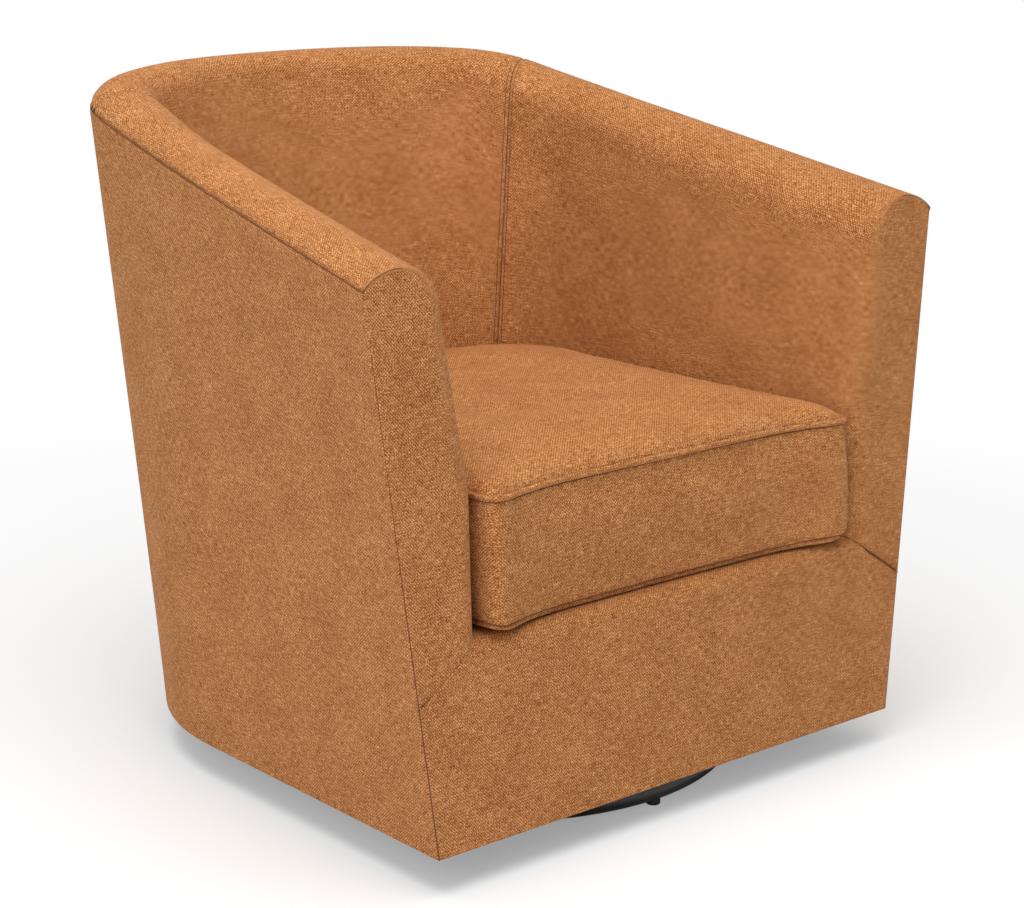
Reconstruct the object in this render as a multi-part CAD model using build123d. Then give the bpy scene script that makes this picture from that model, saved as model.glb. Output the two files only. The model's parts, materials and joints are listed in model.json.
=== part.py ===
from build123d import *
import os
from math import atan2, ceil, cos, degrees, pi, radians, sin, sqrt, tan

# Upholstered barrel armchair on a swivel base. Millimetres, +X to the right of someone facing the chair,
# -Y the chair's front, +Z up. The origin lies on the floor, under the middle of the chair's box.

# Plan of the tub: half width at the front, the front's place, toe-in of the side, length of the straight
# side, corner radius, half angle of the back's arc
HEM_HALF, HEM_FRONT, HEM_TOE, HEM_SIDE, HEM_CORNER, HEM_BACK = 321.0, -361.5, 1.2, 400.0, 289.4, 17.4
RIM_HALF, RIM_FRONT, RIM_TOE, RIM_SIDE, RIM_CORNER, RIM_BACK = 403.5, -335.6, 8.9, 545.8, 118.1, 31.7
SEAT_HALF, SEAT_TOE, SEAT_SIDE, SEAT_CORNER, SEAT_BACK = 260.0, 1.4, 410.0, 120.0, 15.0
TOP_HALF, TOP_TOE, TOP_SIDE, TOP_CORNER, TOP_BACK = 317.0, 8.0, 545.0, 68.0, 30.0

# Heights of the tub
RIM_LEVEL = 735.0           # level of the rim outlines, the top of the back
ARM_RIM = 608.0             # top of the arm at its front
RIM_SLOPE = 0.196           # rise of the arm's top towards the back
RIM_EASE_Y = 140.0          # where the rim starts to ease into the level top of the back
LUMBAR_Z = 385.0            # the inside is upright below this level and leans out above it
DECK_Z = 244.0              # top of the seat deck
CROWN_RISE = 17.0           # height of the rim's crown above the outer seam, at the arm's front
CROWN_GROW = 6.0            # how much higher the crown is at the back
CREST_SHARE = 0.45          # place of the crest across the wall, from the outer seam

# Seams and section planes
HUB_Y = 40.0                # the back's section planes fan out from here
INSIDE_SEAM = 31.0          # angle of the inside seams between arms and back
OUTSIDE_SEAM = 52.0         # angle of the outside seams between sides and back
SIDE_SEAM_Z = 192.0         # where the front cover's seam meets the outer edge of the arm front
FAN_STEP = 4.0              # angle between neighbouring section planes in the back and the corners
ARM_STEP = 80.0             # distance between neighbouring section planes along the arm

# Layers of the wall, from the outside
COVER = 2.0                 # fabric with its lining
FIT = 0.3                   # clearance between soft layers
BOARD = 3.0                 # stiff board under the outside covers
WOOD = 22.0                 # posts and rails
CAP = 22.0                  # padding between the outer seam and the rail below it
RAIL_HEIGHT = 55.0

# Frame
PLY = 18.0                  # bottom frame and seat frame
HEM_DROP = 0.4              # the hem hangs this far below the swivel plate's top
HEM_TURN = 6.0              # the frame stands this far above the hem
DUST_CLOTH = 1.0
FRAME_WIDTH = 70.0          # width of the frame's flat rings
FRAME_INSET = 6.0
SEAT_FRAME_INSET = 30.0
SEAT_FRAME_TOP = 205.0
SEAT_OPENING = 45.0         # the seat frame's opening lies this far inside the inside cover
POST = 40.0
FRONT_BOARD = 25.0
FRONT_PAD = 24.0
RAIL_W, RAIL_H = 45.0, 25.0
RAIL_END_GAP = 4.0          # between the swivel rails' ends and the wall's wooden layer
FRONT_RAIL_GAP = 2.5        # between the front rail's ends and the inside covers
FRONT_COVER_GAP = 1.0       # between the front cover's lip and the inside covers
SWIVEL_BOARD = 300.0
DUST_GAP = 2.0              # between the dust cloth's opening and the swivel board
SCREW_D, SCREW_HEAD, SCREW_BITE = 4.0, 2.0, 12.6

# Seat suspension
SPRING_COUNT, SPRING_PITCH = 5, 75.0
WIRE = 3.8
LOOP_HALF, LOOP_STEP, LOOP_R = 20.0, 20.0, 9.0
CLIP_W, CLIP_L, CLIP_T = 18.0, 18.0, 1.4
SPRING_END = 1.5 * CLIP_L   # straight end of a spring, from the clip's middle
TIE_WIRE = 2.2
TIE_SHARES = (0.36, 0.68)   # places of the tie wires along the springs
LIP_R = 15.0                # rounding of the front cover's lip
LIP_BACK = -290.0           # where the lip meets the deck cover

# Swivel base
AXIS_Y = -72.0
RING_R = 262.0              # outer radius of the base ring
RING_TUBE, RING_WALL = 25.4, 2.0
GLIDE_H, GLIDE_D, GLIDE_LAP, GLIDE_ROUND = 5.0, 15.0, 2.0, 1.2
LEGS = 4
SPOKE_W, SPOKE_T, SPOKE_DROP, SPOKE_START = 38.0, 8.0, 3.0, 32.0
PLATE_T, LOWER_PLATE_R, UPPER_PLATE = 3.0, 90.0, 184.0
BALLS, BALL_D, BALL_CIRCLE, BALL_PLAY = 20, 5.9, 75.0, 0.1
CAGE_W, CAGE_T = 14.0, 2.0
PIN_D, PIN_FLANGE, PIN_HEAD, PIN_END = 12.0, 24.0, 4.0, 2.0
PIN_ROOM = 6.0              # between the pin's nut and the swivel board
BOLT_D, BOLT_HEAD, BOLT_HEAD_H = 6.0, 10.0, 3.4
LOWER_BOLT_R, UPPER_BOLT = 52.0, 79.0
BOLT_HOLE_END, BOLT_END = 4.0, 5.0  # wood left above the upper bolts' holes and above the bolts
PLAY = 0.05                 # radial play of turning and bolted parts

# Cushion
CUSHION_GAP = 8.5           # from the inside cover to the cushion's boxing
CUSHION_FRONT = -347.0
CUSHION_REST = 0.4          # clearance between deck and cushion
CUSHION_EDGE = 382.0        # level of the top seam
CUSHION_CROWN = 30.0
FRONT_CORNER = 24.0
DRAWN_IN = 3.0              # how far the front and sides pull in between the corners
BELLY = 2.0                 # how far the boxing swells at half height
WELT, WELT_BELLY = 6.0, 0.8  # cord's thickness; swell of the boxing behind it
WELT_POINTS = 110
CROWN_FLAT = 0.3            # share of the plan that is level at the top of the crown
CROWN_STEPS = 5
ZIP_W, ZIP_T, ZIP_END = 24.0, 1.2, 13.6
SLIDER_L, SLIDER_H, SLIDER_T, SLIDER_STOP = 12.0, 10.0, 3.2, 13.0
PULL_W, PULL_L, PULL_T = 5.0, 24.0, 1.2

# Levels that follow from the sizes above
RING_Z = GLIDE_H + RING_TUBE / 2
RING_MID = RING_R - RING_TUBE / 2
SPOKE_TOP = GLIDE_H + RING_TUBE - SPOKE_DROP
RACE_Z = SPOKE_TOP + PLATE_T
UPPER_Z = RACE_Z + BALL_D + BALL_PLAY
SWIVEL_TOP = UPPER_Z + PLATE_T
HEM_Z = SWIVEL_TOP - HEM_DROP
FRAME_Z = HEM_Z + HEM_TURN
FRAME_TOP = FRAME_Z + PLY
SEAT_FRAME_Z = SEAT_FRAME_TOP - PLY
WIRE_Z = SEAT_FRAME_TOP + FIT + WIRE / 2
DECK_PAD_Z = WIRE_Z + WIRE / 2 + TIE_WIRE + 2 * FIT
LIP_Z = DECK_Z - LIP_R
CUSHION_FOOT = DECK_Z + CUSHION_REST
FRONT_LEAN = (RIM_FRONT - HEM_FRONT) / (RIM_LEVEL - HEM_Z)
BOARD_AT = COVER + FIT
WOOD_AT = BOARD_AT + BOARD + FIT
FOAM_AT = WOOD_AT + WOOD + 2 * FIT


class Outline:
    """Half plan of the tub: a straight side, a corner arc and a back arc, each tangent to the next."""

    def __init__(self, half, front, toe, side, corner, back):
        self.sizes = (half, front, toe, side, corner, back)
        self.half, self.front_y, self.corner = half, front, corner
        self.toe, self.back = radians(toe), radians(back)
        self.side_end = (half - side * sin(self.toe), front + side * cos(self.toe))
        self.corner_mid = (
            self.side_end[0] - corner * cos(self.toe),
            self.side_end[1] - corner * sin(self.toe),
        )
        self.corner_end = (
            self.corner_mid[0] + corner * sin(self.back),
            self.corner_mid[1] + corner * cos(self.back),
        )
        self.back_r = self.corner_end[0] / sin(self.back)
        self.back_mid = (0.0, self.corner_end[1] - self.back_r * cos(self.back))
        self.back_y = self.back_mid[1] + self.back_r

    def inset(self, d):
        """The same plan, d further in."""
        half, front, toe, side, corner, back = self.sizes
        return Outline(half - d / cos(self.toe), front, toe, side - d * tan(self.toe), corner - d, back)

    def half_at(self, y):
        """Half width of the straight side at y."""
        return self.half - (y - self.front_y) * tan(self.toe)

    def reach(self, y, angle):
        """Distance from the middle plane at y to the outline, along a ray at that angle from +X."""
        ray = (cos(angle), sin(angle))
        if angle >= atan2(self.corner_end[1] - y, self.corner_end[0]):
            return ray_to_circle(y, ray, self.back_mid, self.back_r)
        if angle >= atan2(self.side_end[1] - y, self.side_end[0]):
            return ray_to_circle(y, ray, self.corner_mid, self.corner)
        return self.half_at(y) / (ray[0] + tan(self.toe) * ray[1])

    def corner_arc_mid(self):
        """Middle point of the corner arc."""
        turn = (self.toe + pi / 2 - self.back) / 2
        return (self.corner_mid[0] + self.corner * cos(turn), self.corner_mid[1] + self.corner * sin(turn))


def ray_to_circle(y, ray, centre, radius):
    """Far crossing of a ray that starts at (0, y) with a circle."""
    along = ray[0] * centre[0] + ray[1] * (centre[1] - y)
    apart = centre[0] ** 2 + (centre[1] - y) ** 2 - radius**2
    return along + sqrt(along**2 - apart)


OUTER_HEM = Outline(HEM_HALF, HEM_FRONT, HEM_TOE, HEM_SIDE, HEM_CORNER, HEM_BACK)
OUTER_RIM = Outline(RIM_HALF, RIM_FRONT, RIM_TOE, RIM_SIDE, RIM_CORNER, RIM_BACK)
SEAT_FRONT = HEM_FRONT + FRONT_LEAN * (LUMBAR_Z - HEM_Z)
INNER_SEAT = Outline(SEAT_HALF, SEAT_FRONT, SEAT_TOE, SEAT_SIDE, SEAT_CORNER, SEAT_BACK)
INNER_TOP = Outline(TOP_HALF, RIM_FRONT, TOP_TOE, TOP_SIDE, TOP_CORNER, TOP_BACK)


def rim_height(y):
    """Top of the rim above the outline's point at y: a straight slope that eases into the level back."""
    ease_z = ARM_RIM + RIM_SLOPE * (RIM_EASE_Y - RIM_FRONT)
    if y <= RIM_EASE_Y:
        return ease_z - RIM_SLOPE * (RIM_EASE_Y - y)
    span = OUTER_RIM.back_y - RIM_EASE_Y
    t = (y - RIM_EASE_Y) / span
    start = 2 * t**3 - 3 * t**2 + 1
    tangent = t**3 - 2 * t**2 + t
    return ease_z * start + RIM_SLOPE * span * tangent + RIM_LEVEL * (1 - start)


class Station:
    """One upright section through the wall. u runs outwards from the middle plane along the section's ray."""

    def __init__(self, hem_y, rim_y, angle):
        self.hem_y, self.rim_y, self.angle = hem_y, rim_y, angle
        ray = min(angle, pi - angle)
        self.hem_u = OUTER_HEM.reach(hem_y, ray)
        self.rim_u = OUTER_RIM.reach(rim_y, ray)
        self.seat_u = INNER_SEAT.reach(self.y(LUMBAR_Z), ray)
        self.top_u = INNER_TOP.reach(rim_y, ray)
        self.crest_z = rim_height(rim_y + self.rim_u * sin(ray))
        self.rise = CROWN_RISE + CROWN_GROW * (self.crest_z - ARM_RIM) / (RIM_LEVEL - ARM_RIM)
        self.seam_z = self.crest_z - self.rise
        self.wood_z = self.seam_z - CAP
        self.lean = (self.top_u - self.seat_u) / (RIM_LEVEL - LUMBAR_Z)
        self.skew = sqrt(1 + self.lean**2)
        seam_u = self.outer(self.seam_z)
        self.crest_u = seam_u - CREST_SHARE * (seam_u - self.inner(self.seam_z))
        self.crown_r = ((seam_u - self.crest_u) ** 2 + self.rise**2) / (2 * self.rise)
        self.roll_r = (self.crest_u - self.inner(self.crest_z)) / (self.skew - self.lean)

    def y(self, z):
        return self.hem_y + (self.rim_y - self.hem_y) * (z - HEM_Z) / (RIM_LEVEL - HEM_Z)

    def outer(self, z):
        return self.hem_u + (self.rim_u - self.hem_u) * (z - HEM_Z) / (RIM_LEVEL - HEM_Z)

    def inner(self, z):
        return self.seat_u + self.lean * max(0.0, z - LUMBAR_Z)

    def point(self, u, z):
        return Vector(u * cos(self.angle), self.y(z) + u * sin(self.angle), z)

    def wire(self, *edges):
        """Closed wire of this section: two points make a line, three an arc."""
        made = []
        for edge in edges:
            points = [self.point(*p) for p in edge]
            made.append(Edge.make_line(*points) if len(points) == 2 else Edge.make_three_point_arc(*points))
        return Wire(made)

    def polygon(self, *points):
        return self.wire(*zip(points, points[1:] + points[:1]))

    def arc(self, radius, depth, start, end):
        """Three points of a rim arc whose centre lies below the crest; angles in radians from +u."""
        centre_z = self.crest_z - radius
        return tuple(
            (self.crest_u + (radius - depth) * cos(a), centre_z + (radius - depth) * sin(a))
            for a in (start, (start + end) / 2, end)
        )

    def rim(self, depth, edge_u=None):
        """Crown arc and roll arc, this deep under the skin, from the outer seam to the inside face."""
        half_chord = self.outer(self.seam_z) - self.crest_u
        reach = half_chord / self.crown_r
        if edge_u is not None:
            reach = (edge_u - self.crest_u) / (self.crown_r - depth)
        start = pi / 2 - atan2(reach, sqrt(1 - reach**2))
        crown = self.arc(self.crown_r, depth, start, pi / 2)
        roll = self.arc(self.roll_r, depth, pi / 2, pi - atan2(self.lean, 1))
        return crown, roll


def arm_station(depth):
    """Section of the right arm, this far behind the chair's front."""
    share = depth / (HUB_Y - HEM_FRONT)
    return Station(HEM_FRONT + depth, RIM_FRONT + share * (HUB_Y - RIM_FRONT), 0.0)


def fan_station(angle):
    """Section on a plane that fans out from the hub, this many degrees from +X."""
    return Station(HUB_Y, HUB_Y, radians(angle))


def spread(first, last, step):
    """Values from first to last about one step apart."""
    count = max(2, ceil((last - first) / step))
    return [first + (last - first) * i / count for i in range(count + 1)]


def fan(first, last, profile):
    """Solid through the same profile on planes that fan out from the hub, between two angles."""
    return Solid.make_loft([profile(fan_station(a)) for a in spread(first, last, FAN_STEP)])


def straight(first, last, profile):
    """Solid along the straight arm, between two depths behind the chair's front."""
    return Solid.make_loft([profile(arm_station(d)) for d in spread(first, last, ARM_STEP)], True)


def side(first, last, profile):
    """Solid from a depth behind the arm's front round to an angle in the corner."""
    return straight(first, HUB_Y - HEM_FRONT, profile) + fan(0.0, last, profile)


def back(first, profile):
    """Solid round the back, from an angle on the right to the same angle on the left."""
    return fan(first, 180.0 - first, profile)


def layer(near, far, low, high):
    """Profile of a layer of the wall between two depths behind the outer skin."""

    def profile(s):
        z0, z1 = low(s), high(s)
        u0, u1 = s.outer(z0), s.outer(z1)
        return s.polygon((u0 - near, z0), (u1 - near, z1), (u1 - far, z1), (u0 - far, z0))

    return profile


def inside_cover(s):
    """Fabric from the outer seam over the rim and down the inside."""
    top, top_roll = s.rim(0.0)
    under, under_roll = s.rim(COVER)
    foot_z = SEAT_FRAME_TOP + FIT
    back = s.seat_u + COVER * s.skew
    return s.wire(
        top,
        top_roll,
        (top_roll[2], (s.seat_u, LUMBAR_Z)),
        ((s.seat_u, LUMBAR_Z), (s.seat_u, foot_z)),
        ((s.seat_u, foot_z), (back, foot_z)),
        ((back, foot_z), (back, LUMBAR_Z)),
        ((back, LUMBAR_Z), under_roll[2]),
        under_roll[::-1],
        under[::-1],
        (under[0], top[0]),
    )


def foam(s):
    """Padding between the wooden layer and the inside cover, carried over the top of the rails."""
    depth = COVER + FIT
    edge_u = s.outer(s.seam_z) - depth - FIT
    crown, roll = s.rim(depth, edge_u)
    foot_z = SEAT_FRAME_TOP + FIT
    face = s.seat_u + depth * s.skew
    top_z = s.wood_z + 2 * FIT
    shelf = (s.outer(top_z) - FOAM_AT, top_z)
    ledge = (s.outer(top_z) - depth - FIT, top_z)
    heel = (s.outer(foot_z) - FOAM_AT, foot_z)
    return s.wire(
        (heel, shelf),
        (shelf, ledge),
        (ledge, crown[0]),
        crown,
        roll,
        (roll[2], (face, LUMBAR_Z)),
        ((face, LUMBAR_Z), (face, foot_z)),
        ((face, foot_z), heel),
    )


def arm_front(s):
    """Whole section of the arm, down to its seam with the front cover."""
    crown, roll = s.rim(0.0)
    outer_foot = (s.outer(SIDE_SEAM_Z), SIDE_SEAM_Z)
    inner_foot = (s.seat_u, LIP_Z + FIT)
    bend = (s.seat_u, LUMBAR_Z)
    return s.wire(
        (outer_foot, crown[0]), crown, roll, (roll[2], bend), (bend, inner_foot), (inner_foot, outer_foot)
    )


def both(right):
    """Right piece and its mirror image on the left."""
    return right, mirror(right, about=Plane.YZ)


def wall_parts():
    """Covers, boards, foams and wooden pieces of the arms and the back."""
    made = {}
    hem = lambda s: HEM_Z
    outside_top = lambda s: s.seam_z - COVER - 2 * FIT
    frame_foot = lambda s: FRAME_Z
    wood_top = lambda s: s.wood_z
    rail_foot = lambda s: s.wood_z - RAIL_HEIGHT
    post_foot = lambda s: FRAME_TOP
    post_top = lambda s: s.wood_z - RAIL_HEIGHT - FIT
    behind = COVER + FIT

    outside = layer(0.0, COVER, hem, outside_top)
    board = layer(BOARD_AT, BOARD_AT + BOARD, frame_foot, wood_top)
    rail = layer(WOOD_AT, WOOD_AT + WOOD, rail_foot, wood_top)
    post = layer(WOOD_AT, WOOD_AT + WOOD, post_foot, post_top)

    seam_gap = degrees(FIT / OUTER_HEM.back_y)
    inside_gap = degrees(FIT / INNER_SEAT.half)
    outside_end = OUTSIDE_SEAM - seam_gap
    inside_end = INSIDE_SEAM - inside_gap
    right_pieces = {
        "outside_{}_cover": side(behind, outside_end, outside),
        "{}_side_board": side(behind, outside_end, board),
        "{}_arm_foam": side(behind, inside_end, foam),
        "inside_{}_cover": straight(0.0, COVER, arm_front) + side(COVER, inside_end, inside_cover),
        "{}_arm_rail": side(POST, outside_end, rail),
    }
    for name, piece in right_pieces.items():
        made[name.format("right")], made[name.format("left")] = both(piece)

    hub_depth = HUB_Y - HEM_FRONT
    posts = group([straight(POST, 2 * POST, post), straight(hub_depth - POST, hub_depth, post)])
    made["right_arm_posts"], made["left_arm_posts"] = both(posts)

    half_post = degrees(POST / 2 / OUTER_HEM.back_y)
    middles = (OUTSIDE_SEAM + 2 * half_post, 90.0, 180.0 - OUTSIDE_SEAM - 2 * half_post)
    made["back_posts"] = group(fan(m - half_post, m + half_post, post) for m in middles)
    made["back_rail"] = back(OUTSIDE_SEAM, rail)
    made["back_board"] = back(OUTSIDE_SEAM, board)
    made["outside_back_cover"] = back(OUTSIDE_SEAM, outside)
    made["back_foam"] = back(INSIDE_SEAM, foam)
    made["inside_back_cover"] = back(INSIDE_SEAM, inside_cover)
    return made


def plan_wire(outline, front_y, z):
    """Closed plan of the tub at one level, cut off straight at the front."""
    half = outline.half_at(front_y)

    def at(x, y):
        return Vector(x, y, z)

    side_end, corner_end = at(*outline.side_end), at(*outline.corner_end)
    right = [
        Edge.make_line(at(half, front_y), side_end),
        Edge.make_three_point_arc(side_end, at(*outline.corner_arc_mid()), corner_end),
    ]
    left = [edge.mirror(Plane.YZ) for edge in right]
    back = Edge.make_three_point_arc(
        at(*outline.corner_end), at(0, outline.back_y), at(-outline.corner_end[0], outline.corner_end[1])
    )
    front = Edge.make_line(at(-half, front_y), at(half, front_y))
    return Wire(right + [back] + left + [front])


def plan_slab(outline, front_y, z, thickness):
    return extrude(Face(plan_wire(outline, front_y, z)), thickness, dir=(0, 0, 1))


def box(x0, x1, y0, y1, z0, z1):
    return Pos((x0 + x1) / 2, (y0 + y1) / 2, (z0 + z1) / 2) * Box(x1 - x0, y1 - y0, z1 - z0)


def rod(x, y, z0, z1, diameter):
    return Pos(x, y, (z0 + z1) / 2) * Cylinder(diameter / 2, z1 - z0)


def group(pieces):
    return Compound(children=list(pieces))


def front_y(z):
    """Place of the chair's front at this height."""
    return HEM_FRONT + FRONT_LEAN * (z - HEM_Z)


def rail_places():
    """Middle of the two swivel rails."""
    reach = SWIVEL_BOARD / 2 - RAIL_W / 2
    return AXIS_Y - reach, AXIS_Y + reach


def screw_places():
    """Screws through the swivel rails, into the swivel board and the bottom frame."""
    inner = SWIVEL_BOARD / 2 - RAIL_W
    outer = OUTER_HEM.side_end[0] - FRAME_INSET - FRAME_WIDTH / 2
    return [(x, y) for y in rail_places() for x in (-outer, -inner, inner, outer)]


def post_places():
    """Middle of the lower posts that carry the seat frame."""
    side_x = OUTER_HEM.side_end[0] - SEAT_FRAME_INSET - POST / 2 - FIT
    front = HEM_FRONT + SEAT_FRAME_INSET + FRONT_BOARD + POST / 2
    rear = OUTER_HEM.inset(SEAT_FRAME_INSET + POST)
    angle = radians(90.0 - HEM_BACK)
    reach = rear.reach(HUB_Y, angle)
    back = (reach * cos(angle), HUB_Y + reach * sin(angle))
    return [(s * x, y) for x, y in ((side_x, front), (side_x, HUB_Y - POST), back) for s in (-1, 1)]


def upper_bolt_places():
    """Bolts that hold the upper swivel plate to the swivel board."""
    return [(sx * UPPER_BOLT, AXIS_Y + sy * UPPER_BOLT) for sx in (-1, 1) for sy in (-1, 1)]


def frame_parts():
    """Flat frames, posts, rails, boards and the swivel's wooden seat."""
    frame_front = front_y(FRAME_Z) + FRONT_PAD
    bottom = plan_slab(OUTER_HEM.inset(FRAME_INSET), frame_front, FRAME_Z, PLY)
    bottom -= plan_slab(OUTER_HEM.inset(FRAME_INSET + FRAME_WIDTH), frame_front + FRAME_WIDTH, FRAME_Z, PLY)
    seat_front = HEM_FRONT + SEAT_FRAME_INSET
    seat = plan_slab(OUTER_HEM.inset(SEAT_FRAME_INSET), seat_front, SEAT_FRAME_Z, PLY)
    seat -= plan_slab(INNER_SEAT.inset(SEAT_OPENING), seat_front + FRAME_WIDTH, SEAT_FRAME_Z, PLY)

    half = SWIVEL_BOARD / 2
    board = box(-half, half, AXIS_Y - half, AXIS_Y + half, SWIVEL_TOP, FRAME_TOP)
    board -= rod(0, AXIS_Y, SWIVEL_TOP, FRAME_TOP, PIN_FLANGE + 2 * PIN_ROOM)
    rail_half = OUTER_HEM.side_end[0] - FOAM_AT - RAIL_END_GAP
    rails = [
        box(-rail_half, rail_half, y - RAIL_W / 2, y + RAIL_W / 2, FRAME_TOP, FRAME_TOP + RAIL_H)
        for y in rail_places()
    ]
    screws = []
    screw_foot = FRAME_TOP - SCREW_BITE
    head_z = FRAME_TOP + RAIL_H
    for x, y in screw_places():
        head = rod(x, y, head_z, head_z + SCREW_HEAD, 2 * SCREW_D)
        screws.append(rod(x, y, screw_foot, head_z, SCREW_D) + head)
        hole = rod(x, y, screw_foot, head_z, SCREW_D + 2 * PLAY)
        board -= hole
        bottom -= hole
        rails = [r - hole for r in rails]
    for x, y in upper_bolt_places():
        board -= rod(x, y, SWIVEL_TOP, FRAME_TOP - BOLT_HOLE_END, BOLT_D + 2 * PLAY)

    front_half = INNER_SEAT.half_at(LIP_BACK) - FRONT_RAIL_GAP
    front_back = frame_front + FRONT_BOARD
    posts = [
        box(x - POST / 2, x + POST / 2, y - POST / 2, y + POST / 2, FRAME_TOP, SEAT_FRAME_Z)
        for x, y in post_places()
    ]
    dust_z = FRAME_Z - DUST_CLOTH
    dust = plan_slab(OUTER_HEM.inset(COVER + FIT), front_y(FRAME_Z) + BOARD_AT, dust_z, DUST_CLOTH)
    opening = half + DUST_GAP
    dust -= box(-opening, opening, AXIS_Y - opening, AXIS_Y + opening, dust_z, FRAME_Z)
    return {
        "bottom_frame": bottom,
        "seat_frame": seat,
        "swivel_board": board,
        "swivel_rails": group(rails),
        "rail_screws": group(screws),
        "lower_posts": group(posts),
        "front_rail": box(-front_half, front_half, frame_front, front_back, FRAME_TOP, SEAT_FRAME_Z),
        "dust_cover": dust,
    }


def lip_profile(depth, foot_z, back_y):
    """Points of the front's skin at this depth: up the front, round the lip and back to the deck."""
    radius = LIP_R - depth
    turn = (front_y(LIP_Z) + LIP_R, LIP_Z)
    middle = (turn[0] - radius * sin(pi / 4), turn[1] + radius * cos(pi / 4))
    top_z = DECK_Z - depth
    foot, start = (front_y(foot_z) + depth, foot_z), (turn[0] - radius, LIP_Z)
    return foot, start, middle, (turn[0], top_z), (back_y, top_z)


def across(edges, half):
    """Solid of a profile in the YZ plane, from -half to half along X."""
    made = []
    for edge in edges:
        points = [Vector(-half, *p) for p in edge]
        made.append(Edge.make_line(*points) if len(points) == 2 else Edge.make_three_point_arc(*points))
    return extrude(Face(Wire(made)), 2 * half, dir=(1, 0, 0))


def front_parts():
    """Front cover with its side flaps, the pad under it, deck cover and deck pad."""
    half = INNER_SEAT.half_at(LIP_BACK) - FRONT_COVER_GAP
    a, b, m, c, d = lip_profile(0.0, HEM_Z, LIP_BACK)
    a2, b2, m2, c2, d2 = lip_profile(COVER, HEM_Z, LIP_BACK)
    cover = across(
        [(a, b), (b, m, c), (c, d), (d, d2), (d2, c2), (c2, m2, b2), (b2, a2), (a2, a)], half
    )
    front = arm_station(0.0)
    flap = [
        (half, HEM_Z),
        (front.outer(HEM_Z), HEM_Z),
        (front.outer(SIDE_SEAM_Z - FIT), SIDE_SEAM_Z - FIT),
        (half, LIP_Z),
    ]
    outer_face = [front.point(*p) for p in flap]
    inner_face = [p + Vector(0, COVER - FIT, 0) for p in outer_face]
    right_flap = Solid.make_loft(
        [Wire.make_polygon(outer_face, close=True), Wire.make_polygon(inner_face, close=True)], True
    )
    for flap_piece in both(right_flap):
        cover += flap_piece

    depth = COVER + FIT
    pad_back = front_y(FRAME_Z) + FRONT_PAD - FIT
    shelf_z = SEAT_FRAME_TOP + FIT
    p, q, n, r, s = lip_profile(depth, FRAME_TOP, LIP_BACK)
    pad = across(
        [
            (p, q),
            (q, n, r),
            (r, s),
            (s, (LIP_BACK, shelf_z)),
            ((LIP_BACK, shelf_z), (pad_back, shelf_z)),
            ((pad_back, shelf_z), (pad_back, FRAME_TOP)),
            ((pad_back, FRAME_TOP), p),
        ],
        half - FIT,
    )
    deck = INNER_SEAT.inset(3 * FIT)
    pad_height = DECK_Z - COVER - FIT - DECK_PAD_Z
    return {
        "front_cover": cover,
        "front_rail_pad": pad,
        "deck_cover": plan_slab(deck, LIP_BACK + FIT, DECK_Z - COVER, COVER),
        "deck_pad": plan_slab(deck, LIP_BACK + FIT, DECK_PAD_Z, pad_height),
    }


def spring_parts():
    """Sinuous seat springs with their end clips and the tie wires across them."""
    front = HEM_FRONT + SEAT_FRAME_INSET + FRAME_WIDTH - CLIP_L / 2 - FIT
    rear = INNER_SEAT.back_y - SEAT_OPENING + CLIP_L / 2 + FIT
    run = rear - front
    wavy = run - 2 * SPRING_END
    bends = 2 * round(wavy / LOOP_STEP / 2)
    step = wavy / bends
    springs, clips = [], []
    for i in range(SPRING_COUNT):
        x = (i - (SPRING_COUNT - 1) / 2) * SPRING_PITCH
        path = [(x, front - CLIP_L / 2, WIRE_Z), (x, front + SPRING_END, WIRE_Z)]
        for k in range(bends):
            y = front + SPRING_END + (k + 0.5) * step
            side = LOOP_HALF if k % 2 else -LOOP_HALF
            path += [(x + side, y - step / 2, WIRE_Z), (x + side, y + step / 2, WIRE_Z)]
        path += [(x, rear - SPRING_END, WIRE_Z), (x, rear + CLIP_L / 2, WIRE_Z)]
        line = FilletPolyline(*path, radius=LOOP_R)
        springs.append(sweep(Plane(line @ 0, z_dir=line % 0) * Circle(WIRE / 2), path=line))
        for y in (front, rear):
            top = WIRE_Z + WIRE / 2 + FIT
            height = top + CLIP_T - SEAT_FRAME_TOP
            clip = Pos(x, y, SEAT_FRAME_TOP + height / 2) * Box(CLIP_W, CLIP_L, height)
            slot = WIRE / 2 + FIT
            clip -= box(x - slot, x + slot, y - CLIP_L, y + CLIP_L, SEAT_FRAME_TOP, top)
            clips.append(clip)
    half = (SPRING_COUNT - 1) / 2 * SPRING_PITCH + LOOP_HALF
    tie_z = WIRE_Z + WIRE / 2 + TIE_WIRE / 2 + FIT / 2
    tie = Rot(0, 90, 0) * Cylinder(TIE_WIRE / 2, 2 * half)
    ties = [Pos(0, front + run * share, tie_z) * tie for share in TIE_SHARES]
    return {"seat_springs": group(springs), "spring_clips": group(clips), "spring_tie_wires": group(ties)}


def around(angle, radius):
    """Place on a circle about the swivel's axis, the angle counted from the chair's front."""
    return radius * sin(radians(angle)), AXIS_Y - radius * cos(radians(angle))


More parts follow.
